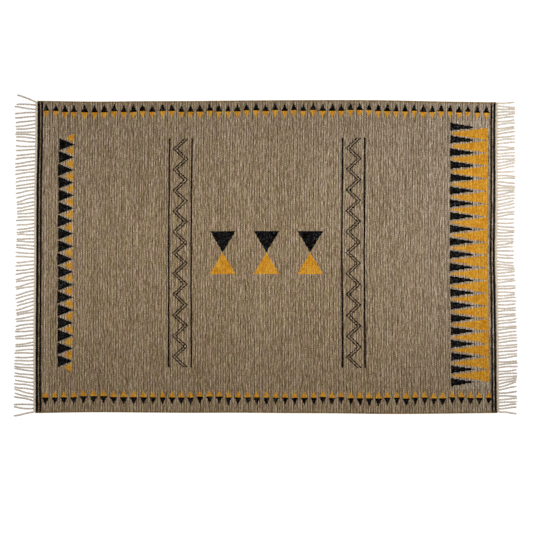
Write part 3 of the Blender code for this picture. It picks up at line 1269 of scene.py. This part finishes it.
@dataclass(frozen=True)
class WovenField:
    """The woven field: one closed sheet with ridged picks, rounded edges and two selvedges."""

    lie: RugLie
    finish: WoolFinish
    name: str = "woven_field"
    thickness: float = 0.0045
    rounding: float = 0.0017
    foot: float = 0.0009
    ridge: float = 0.00020
    ridge_shares: tuple[float, float] = (0.6, 1.3)
    ridge_seed: int = 5
    selvedge_rise: float = 0.0005
    cord_middle: float = 0.0031
    cord_apart: float = 0.0015
    cord_half: float = 0.0016
    end_step: float = 0.0005
    side_rows: tuple[float, ...] = (
        0.0,
        0.0004,
        0.0010,
        0.0017,
        0.0025,
        0.0031,
        0.0037,
        0.0045,
        0.0053,
        0.0062,
    )
    inner_from: float = 0.007
    row_step: float = 0.034
    wave: float = 0.00012
    swell: Ripple = Ripple(9.1, 7.3, 1.3, 0.4)
    cross_swell: tuple[float, float] = (23.0, 17.0)
    cross_share: float = 0.6
    slow_sway: Ripple = Ripple(31.0, 27.0, 0.0, 1.0, 2.0, 9.0)
    slow_reach: float = 0.0007
    quick_sway: Ripple = Ripple(118.0, 64.0, 0.7, across_bend=2.2, across_bend_waves=5.0)
    quick_reach: float = 0.0004
    sway_fade: float = 0.05
    border_space: float = 0.036
    panels: int = 34

    def columns(self) -> np.ndarray:
        """Places along the cut: an edge, its rounding, then two to each pick."""
        regular = np.arange(1, 2 * PICKS) * PICK / 2
        left, right = [0.0, self.end_step], [FIELD_LENGTH - self.end_step, FIELD_LENGTH]
        return np.concatenate([left, regular, right])

    def rows(self) -> np.ndarray:
        """Places across the cut: close together over each selvedge."""
        edge = np.array(self.side_rows)
        count = round((FIELD_WIDTH - 2 * self.inner_from) / self.row_step)
        inner = np.linspace(self.inner_from, FIELD_WIDTH - self.inner_from, count + 1)
        return np.concatenate([edge, inner, FIELD_WIDTH - edge[::-1]])

    def top(self, u: np.ndarray, v: np.ndarray) -> np.ndarray:
        """The height of the upper face.

        Args:
            u: places along the cut.
            v: places across it.

        Returns:
            A height for each place.
        """
        rng = np.random.default_rng(self.ridge_seed)
        from_end = np.minimum(u, FIELD_LENGTH - u)
        from_side = np.minimum(v, FIELD_WIDTH - v)
        phase = u / PICK
        pick = np.clip(np.floor(phase).astype(int), 0, PICKS - 1)
        stoutness = rng.uniform(*self.ridge_shares, PICKS)[pick]
        ridge = -np.cos(2 * np.pi * phase) * stoutness * self.ridge
        from_cord = np.abs(np.abs(from_side - self.cord_middle) - self.cord_apart)
        rise = np.sqrt(np.clip(1 - from_cord / self.cord_half, 0, 1)) * self.selvedge_rise
        cross = np.sin(self.cross_swell[0] * u + self.cross_swell[1] * v)
        swell = self.swell.at(u, v) + self.cross_share * cross
        level = self.thickness - self.ridge + ridge + rise + swell * self.wave / 2
        short_end = np.clip(1 - from_end / self.rounding, 0, 1)
        short_side = np.clip(1 - from_side / self.rounding, 0, 1)
        short = np.minimum(np.hypot(short_end, short_side), 1.0)
        return level - self.rounding * (1 - np.sqrt(1 - short**2))

    def sway(self, u: np.ndarray, v: np.ndarray) -> np.ndarray:
        """How far picks are beaten out of line, fading out at the edges."""
        fade = np.clip(np.minimum(u, FIELD_LENGTH - u) / self.sway_fade, 0, 1)
        slow = self.slow_reach * self.slow_sway.at(u, v)
        return (slow + self.quick_reach * self.quick_sway.at(u, v)) * fade

    def border_run(self, u: np.ndarray, v: np.ndarray) -> np.ndarray:
        """Which triangle of the nearer long border a place belongs to, as a running number."""
        numbers = np.array(values_of(BORDER_ROWS, "number"), float)
        runs = []
        for name in ("far", "near"):
            places = np.array(values_of(BORDER_ROWS, name)) + FIELD_LENGTH / 2
            ends = (places[0] - self.border_space, *places, places[-1] + self.border_space)
            runs.append(SmoothRun(tuple(ends), (-1.0, *numbers, numbers[-1] + 1.0)).at(u))
        return np.where(v > FIELD_WIDTH / 2, runs[0], runs[1])

    def build(self) -> bpy.types.Object:
        """Makes the sheet.

        Returns:
            The new object.
        """
        columns, rows = self.columns(), self.rows()
        u, v = np.meshgrid(columns, rows)
        x, y = self.lie.lie(u + self.sway(u, v), v)
        upper = np.stack([x, y, self.top(u, v)], axis=-1).reshape(-1, 3)
        wide, deep = len(columns), len(rows)
        rim = self.rim(wide, deep)
        points, cut = [upper], [np.stack([u, v], axis=-1).reshape(-1, 2)]
        flat_rim = cut[0][rim]
        for inset, height in ((0.0, self.foot), (self.foot, 0.0)):
            inner = np.clip(flat_rim, inset, np.array([FIELD_LENGTH, FIELD_WIDTH]) - inset)
            rim_x, rim_y = self.lie.lie(inner[:, 0], inner[:, 1])
            points.append(np.stack([rim_x, rim_y, np.full(len(rim), height)], axis=-1))
            cut.append(flat_rim)
        faces: list[list[int]] = grid_faces(deep, wide, False).tolist()
        ring = np.arange(len(rim)) + len(upper)
        rings = [rim, ring, ring + len(rim)]
        for high, low in zip(rings, rings[1:]):
            for i in range(len(rim)):
                j = (i + 1) % len(rim)
                faces.append([int(high[j]), int(high[i]), int(low[i]), int(low[j])])
        under = self.underside(rings[-1], wide, deep)
        places = np.concatenate(cut)
        bake = places / FIELD_LENGTH * (1 - 2 * BAKE_MARGIN) + BAKE_MARGIN
        marks = Marks(places, bake, RUN_MARK, self.border_run(places[:, 0], places[:, 1]))
        shape = np.concatenate(points)
        return make_piece(self.name, shape, faces + under, marks, self.finish.make(), len(under))

    def rim(self, wide: int, deep: int) -> np.ndarray:
        """The grid's outer points, anticlockwise from its near left corner."""
        near, right = np.arange(wide), wide * np.arange(1, deep) + wide - 1
        far = wide * (deep - 1) + np.arange(wide - 2, -1, -1)
        left = wide * np.arange(deep - 2, 0, -1)
        return np.concatenate([near, right, far, left])

    def underside(self, ring: np.ndarray, wide: int, deep: int) -> list[list[int]]:
        """The flat faces of the underside, as panels from the near side to the far side.

        Args:
            ring: the points round the underside, in the order of the rim.
            wide: how many columns the sheet has.
            deep: how many rows it has.

        Returns:
            A face for each panel.
        """
        cuts = np.linspace(0, wide - 1, self.panels + 1).astype(int)
        far_start = wide - 1 + deep - 1
        panels = []
        for low, high in zip(cuts, cuts[1:]):
            near = list(range(low, high + 1))
            far = [far_start + wide - 1 - k for k in range(high, low - 1, -1)]
            right = list(range(wide, far_start)) if high == wide - 1 else []
            left = list(range(far_start + wide, len(ring))) if low == 0 else []
            panels.append([int(ring[k]) for k in (near + right + far + left)[::-1]])
        return panels

    def dress(self, piece: bpy.types.Object) -> None:
        """Attaches the sheet to the body and hides the imported part it stands for."""
        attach(piece, BODY)
        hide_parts("rug_field")


@dataclass
class Strand:
    """A strand: the Y of its root, its reach in X, and its Y at each of the strand places."""

    root: float
    reach: float
    sideways: list[float]


@dataclass(frozen=True)
class StrandLayout:
    """How a fringe's strands are laid out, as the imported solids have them."""

    lie: RugLie
    end: RugEnd
    heading_width: float
    strand_width: float
    pitch: float
    lie_rows: tuple[LieRow, ...]
    seed: int
    seam_gap: float = 0.0003
    root_margin: float = 0.0012
    root_wander: float = 0.0016
    lean_wander: float = 0.0035
    bulge_wander: float = 0.0024
    ripple_wander: float = 0.0009
    reach_wander: float = 0.0022
    pair_chance: float = 0.16
    pair_pull: float = 0.42
    clear_share: float = 1.45
    clearing_passes: int = 12

    def lay(self) -> list[Strand]:
        """The strands, from the near side to the far side.

        Returns:
            A list of strands, some tips drawn together and all kept apart.
        """
        chance = random.Random(self.seed)
        half_root = self.strand_width / 2 + self.root_margin
        first = self.lie.corner_y(self.end, LongSide.NEAR) + half_root
        last = self.lie.corner_y(self.end, LongSide.FAR) - half_root
        count = round((last - first) / self.pitch) + 1
        places = values_of(self.lie_rows, "across")
        leans = SmoothRun(places, values_of(self.lie_rows, "lean"))
        reaches = SmoothRun(places, values_of(self.lie_rows, "reach"))
        strands = []
        for i in range(count):
            at_corner = i in (0, count - 1)
            wander = 0.0 if at_corner else chance.uniform(-self.root_wander, self.root_wander)
            root = first + (last - first) * i / (count - 1) + wander
            lean = float(leans.at(root)) + chance.uniform(-self.lean_wander, self.lean_wander)
            bulge = chance.uniform(-self.bulge_wander, self.bulge_wander)
            ripple = chance.uniform(-self.ripple_wander, self.ripple_wander)
            reach = float(reaches.at(root)) + chance.uniform(-self.reach_wander, self.reach_wander)
            sideways = [
                root
                + lean * place
                + bulge * math.sin(math.pi * place)
                + ripple * math.sin(2 * math.pi * place)
                for place in STRAND_PLACES
            ]
            strands.append(Strand(root, reach, sideways))
        self.draw_pairs(strands, chance)
        self.keep_apart(strands)
        return strands

    def draw_pairs(self, strands: list[Strand], chance: random.Random) -> None:
        """Draws some neighbouring tips together, never the same strand twice."""
        last = len(strands) - 1
        i = 1
        while i < last - 1:
            if chance.random() < self.pair_chance:
                for k, place in enumerate(STRAND_PLACES):
                    pull = self.pair_pull * place**2
                    apart = strands[i + 1].sideways[k] - strands[i].sideways[k]
                    strands[i].sideways[k] += pull * apart
                    strands[i + 1].sideways[k] -= pull * apart
                i += 1
            i += 1

    def keep_apart(self, strands: list[Strand]) -> None:
        """Moves strands apart at the places where they lie too near each other."""
        least = self.clear_share * self.strand_width
        for _ in range(self.clearing_passes):
            for one, other in zip(strands, strands[1:]):
                for i, (low, high) in enumerate(zip(one.sideways, other.sideways)):
                    short = least - (high - low)
                    if short > 0:
                        one.sideways[i] -= short / 2
                        other.sideways[i] += short / 2

    def inner_x(self, y: np.ndarray | float) -> np.ndarray:
        """The X where the heading begins, next to the cloth."""
        return self.lie.end_edge(y, self.end) + self.end.value * self.seam_gap

    def root_x(self, y: np.ndarray | float) -> np.ndarray:
        """The X where the heading ends and the strands begin."""
        return self.inner_x(y) + self.end.value * self.heading_width


@dataclass(frozen=True)
class YarnTube:
    """A plied yarn's size: two plies wound round each other, and how finely it is made."""

    width: float
    lay_length: float
    squash: float = 1.0
    sides: int = 8
    groove: float = 0.10

    def around(
        self, centres: np.ndarray, along: np.ndarray, shares: np.ndarray, start: float
    ) -> np.ndarray:
        """The points of a yarn round its centre line.

        Args:
            centres: the centre line's points.
            along: how far along the line each is, in metres.
            shares: how thick the yarn is at each, as a share of its width.
            start: where its twist starts, in radians.

        Returns:
            Rings of points, one after another.
        """
        run = np.gradient(centres, axis=0)
        run /= np.linalg.norm(run, axis=1, keepdims=True)
        side = np.cross([0.0, 0.0, 1.0], run)
        side /= np.linalg.norm(side, axis=1, keepdims=True)
        up = np.cross(run, side)
        turn = np.arange(self.sides) * 2 * np.pi / self.sides
        twist = start + np.pi * along / self.lay_length
        lobe = 1 + self.groove * (np.cos(2 * (turn[None, :] - twist[:, None])) - 1)
        radius = self.width / 2 * shares[:, None] * lobe
        offset = (
            side[:, None, :] * (np.cos(turn)[None, :] * radius)[..., None]
            + up[:, None, :] * (np.sin(turn)[None, :] * radius * self.squash)[..., None]
        )
        return (centres[:, None, :] + offset).reshape(-1, 3)


@dataclass(frozen=True)
class Fringe:
    """One fringe: twined heading cords, a knot at each root, and the strands."""

    name: str
    node: str
    layout: StrandLayout
    material: bpy.types.Material
    cord_width: float
    stout: float = 1.40
    squash: float = 0.50
    rings: int = 34
    lay_length: float = 0.0105
    lay_wander: tuple[float, float] = (0.9, 1.15)
    girth_swing: float = 0.04
    girth_waves: float = 19.0
    cords: int = 2
    cord_step: float = 0.0016
    cord_height: float = 0.0036
    cord_fill: float = 1.04
    cord_groove: float = 0.22
    cord_end: float = 0.4
    cord_turn: float = 1.1
    cord_tone: float = 0.3
    knot_ring: float = 0.44
    knot_yarn: float = 0.24
    knot_tilt: float = 78.0
    knot_turn: float = 24.0
    knot_stretch: tuple[float, float, float] = (0.9, 1.0, 0.80)
    knot_sizes: tuple[float, float] = (0.92, 1.08)
    knot_tones: tuple[float, float] = (0.3, 0.9)
    bake_start: float = 0.02
    bake_strand: float = 0.9
    bake_cord: float = 0.95
    bake_fill: float = 0.8
    bake_knot: float = 0.96
    bake_knot_scale: tuple[float, float] = (6.0, 0.8)
    strip_margin: float = 0.1
    cord_margin: float = 0.3
    spare_strips: int = 4

    def bake_strip(self, run: np.ndarray, sides: int, strip: float, count: int) -> np.ndarray:
        """Where a yarn's points go on the bake map, in a strip of its own.

        Args:
            run: how far along the map each of its rings is.
            sides: how many points a ring has.
            strip: which strip it is, counted from the map's foot.
            count: how many strands the fringe has.

        Returns:
            A place for each point.
        """
        around = np.tile(np.arange(sides) / sides, len(run)) * self.bake_fill
        return np.stack([np.repeat(run, sides), (strip + around) / (count + self.spare_strips)], 1)

    def strand_line(self, strand: Strand) -> tuple[np.ndarray, np.ndarray]:
        """The centre line of a strand over the floor.

        Args:
            strand: the strand.

        Returns:
            Its points and how far along it each is, as a share.
        """
        end, outer = self.layout.end.value, float(self.layout.root_x(strand.root))
        places = (0.0, *STRAND_PLACES)
        share = np.linspace(0.0, 1.0, self.rings)
        y = SmoothRun(places, (strand.root, *strand.sideways)).at(share)
        tuck = self.layout.heading_width - self.cords * self.cord_width
        x = outer + end * ((strand.reach + tuck) * share - tuck)
        return np.stack([x, y, np.zeros_like(x)], axis=1), share

    def add_strand(self, parts: MeshParts, strand: Strand, number: int, count: int) -> None:
        """Adds one strand, from inside its knot to its narrowed tip."""
        chance = random.Random(self.layout.seed * 1000 + number)
        line, share = self.strand_line(strand)
        width = self.layout.strand_width
        lay_length = self.lay_length * chance.uniform(*self.lay_wander)
        tube = YarnTube(width * self.stout, lay_length, self.squash)
        girth = 1.0 + self.girth_swing * np.sin(share * self.girth_waves + chance.uniform(0, 6))
        taper = np.interp(share, values_of(TAPER_ROWS, "along"), values_of(TAPER_ROWS, "girth"))
        shares = girth * taper
        line[:, 2] = tube.width / 2 * shares
        points = tube.around(line, share * strand.reach, shares, chance.uniform(0, 3))
        points[:, 2] -= points[:, 2].reshape(len(line), -1).min(axis=1).repeat(tube.sides)
        faces = grid_faces(len(line), tube.sides, True)
        run = self.bake_start + self.bake_strand * share
        bake = self.bake_strip(run, tube.sides, number + self.strip_margin, count)
        parts.add(points, faces, np.repeat(share, tube.sides), bake, chance.random())

    def add_cord(self, parts: MeshParts, number: int, count: int) -> None:
        """Adds one twined cord of the heading, along the end of the cloth."""
        layout = self.layout
        width = self.cord_width
        low = layout.lie.corner_y(layout.end, LongSide.NEAR) + width / 2
        high = layout.lie.corner_y(layout.end, LongSide.FAR) - width / 2
        y = np.linspace(low, high, round((high - low) / self.cord_step))
        x = layout.inner_x(y) + layout.end.value * width * (number + 0.5)
        line = np.stack([x, y, np.full_like(y, self.cord_height / 2)], axis=1)
        tube = YarnTube(width * self.cord_fill, layout.pitch / 2, groove=self.cord_groove)
        shares = np.ones(len(y))
        shares[[0, -1]] = self.cord_end
        points = tube.around(line, y - low, shares, number * self.cord_turn)
        points[:, 2] = np.clip(points[:, 2], 0.0, self.cord_height)
        faces = grid_faces(len(line), tube.sides, True)
        run = self.bake_start + self.bake_cord * (y - low) / (high - low)
        bake = self.bake_strip(run, tube.sides, count + number + self.cord_margin, count)
        parts.add(points, faces, np.zeros(len(points)), bake, self.cord_tone)

    def model_knot(self) -> tuple[np.ndarray, np.ndarray]:
        """Models one knot: a ring of yarn round the strand's root.

        Returns:
            Its points and its four-sided faces.
        """
        width = self.layout.strand_width
        bpy.ops.object.select_all(action="DESELECT")
        bpy.ops.mesh.primitive_torus_add(
            major_segments=10,
            minor_segments=5,
            major_radius=width * self.knot_ring,
            minor_radius=width * self.knot_yarn,
        )
        knot = bpy.context.object
        bpy.ops.object.mode_set(mode="EDIT")
        bpy.ops.mesh.select_all(action="SELECT")
        for angle, axis in ((self.knot_tilt, "Y"), (self.knot_turn, "Z")):
            bpy.ops.transform.rotate(
                value=math.radians(angle), orient_axis=axis, center_override=(0, 0, 0)
            )
        bpy.ops.transform.resize(value=self.knot_stretch)
        bpy.ops.object.mode_set(mode="OBJECT")
        points = np.array([vertex.co[:] for vertex in knot.data.vertices])
        faces = np.array([face.vertices[:] for face in knot.data.polygons])
        bpy.data.objects.remove(knot, do_unlink=True)
        points[:, 2] -= points[:, 2].min()
        return points, faces

    def add_knots(self, parts: MeshParts, strands: list[Strand]) -> None:
        """Adds a knot at each strand's root."""
        points, faces = self.model_knot()
        count = len(strands)
        for number, strand in enumerate(strands):
            chance = random.Random(self.layout.seed * 500 + number)
            turn = -1 if chance.random() < 0.5 else 1
            line, _ = self.strand_line(strand)
            place = points * np.array([turn, turn, 1.0]) * chance.uniform(*self.knot_sizes)
            place = place + [line[1, 0], line[1, 1], 0.0]
            bake = (points[:, :2] - points[:, :2].min(0)) * self.bake_knot_scale
            bake += [self.bake_knot, number / (count + self.spare_strips)]
            tone = chance.uniform(*self.knot_tones)
            parts.add(place, faces, np.zeros(len(place)), bake, tone)

    def build(self) -> bpy.types.Object:
        """Makes the fringe.

        Returns:
            The new object.
        """
        parts = MeshParts()
        strands = self.layout.lay()
        for number, strand in enumerate(strands):
            self.add_strand(parts, strand, number, len(strands))
        for number in range(self.cords):
            self.add_cord(parts, number, len(strands))
        self.add_knots(parts, strands)
        return parts.make(self.name, self.material)

    def dress(self, piece: bpy.types.Object) -> None:
        """Attaches the fringe to the body and hides the imported part it stands for."""
        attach(piece, BODY)
        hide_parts(self.node)


@dataclass(frozen=True)
class SoftLight:
    """A softbox: its place, what it points at, its size and its power."""

    name: str
    place: tuple[float, float, float]
    aim: tuple[float, float, float]
    size: tuple[float, float]
    power: float

    def build(self) -> None:
        """Adds the light."""
        data = bpy.data.lights.new(self.name, "AREA")
        data.shape = "RECTANGLE"
        data.size, data.size_y = self.size
        data.energy = self.power
        light = bpy.data.objects.new(self.name, data)
        bpy.context.scene.collection.objects.link(light)
        place, aim = np.array(self.place), np.array(self.aim)
        light.location = self.place
        light.rotation_euler = Vector(aim - place).to_track_quat("-Z", "Y").to_euler()
        light.visible_camera = False


@dataclass(frozen=True)
class Studio:
    """The pale floor, the soft light and the camera straight above."""

    view_width: float = 2.048
    look_at: tuple[float, float] = (0.0019, -0.0367)
    top: float = 0.0045
    lens: float = 85.0
    sensor: float = 36.0
    clip_end: float = 200.0
    floor_size: float = 60.0
    floor_drop: float = 0.0002
    floor_cuts: int = 5
    ambient: float = 0.42
    lights: tuple[SoftLight, ...] = (
        SoftLight("strip_light", (-0.04, 0.08, 1.1), (-0.04, 0.08, 0.0), (3.0, 0.5), 25.0),
        SoftLight("right_light", (1.4, 0.6, 0.8), (0.3, 0.1, 0.0), (1.2, 0.8), 9.0),
    )

    def build_floor(self) -> None:
        """Adds the floor, which is not part of the rug."""
        bpy.ops.object.select_all(action="DESELECT")
        place = (0.0, 0.0, -self.floor_drop)
        bpy.ops.mesh.primitive_plane_add(size=self.floor_size, location=place)
        floor = bpy.context.object
        floor.name = "studio_floor"
        bpy.ops.object.mode_set(mode="EDIT")
        bpy.ops.mesh.select_all(action="SELECT")
        bpy.ops.mesh.subdivide(number_cuts=self.floor_cuts)
        bpy.ops.object.mode_set(mode="OBJECT")
        bpy.ops.object.transform_apply(location=True, rotation=False, scale=False)
        floor.data.materials.append(FloorFinish().make())

    def build_light(self) -> None:
        """Adds the ambient light and the softboxes."""
        world = bpy.data.worlds.new("studio_light")
        world.use_nodes = True
        sky = world.node_tree.nodes["Background"]
        sky.inputs["Color"].default_value = (1.0, 1.0, 1.0, 1.0)
        sky.inputs["Strength"].default_value = self.ambient
        bpy.context.scene.world = world
        for light in self.lights:
            light.build()

    def build_camera(self) -> None:
        """Adds the camera, looking straight down."""
        data = bpy.data.cameras.new("camera")
        data.lens, data.sensor_width = self.lens, self.sensor
        data.clip_end = self.clip_end
        camera = bpy.data.objects.new("camera", data)
        distance = self.view_width * self.lens / self.sensor
        camera.location = (*self.look_at, self.top + distance)
        bpy.context.scene.collection.objects.link(camera)
        bpy.context.scene.camera = camera
        bpy.context.scene.view_settings.view_transform = "Standard"

    def build(self) -> None:
        """Adds all of the studio."""
        self.build_floor()
        self.build_light()
        self.build_camera()


def main() -> None:
    """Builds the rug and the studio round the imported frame."""
    logging.basicConfig(level=logging.INFO, format="%(message)s")
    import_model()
    Studio().build()
    lie = RugLie()
    yarn = YarnFinish().make()
    fringes = (
        Fringe(
            "fringe_left_yarn",
            "fringe_left",
            StrandLayout(
                lie,
                RugEnd.LEFT,
                heading_width=0.0090,
                strand_width=0.0053,
                pitch=0.01425,
                lie_rows=LEFT_LIE_ROWS,
                seed=11,
            ),
            yarn,
            cord_width=0.0036,
        ),
        Fringe(
            "fringe_right_yarn",
            "fringe_right",
            StrandLayout(
                lie,
                RugEnd.RIGHT,
                heading_width=0.0068,
                strand_width=0.0049,
                pitch=0.01215,
                lie_rows=RIGHT_LIE_ROWS,
                seed=23,
            ),
            yarn,
            cord_width=0.0034,
            stout=1.56,
        ),
    )
    for fringe in fringes:
        piece = fringe.build()
        fringe.dress(piece)
        LOG.info("%s: %d faces", piece.name, len(piece.data.polygons))
    field = WovenField(lie, WoolFinish())
    sheet = field.build()
    field.dress(sheet)
    LOG.info("%s: %d faces", sheet.name, len(sheet.data.polygons))


if __name__ == "__main__":
    main()
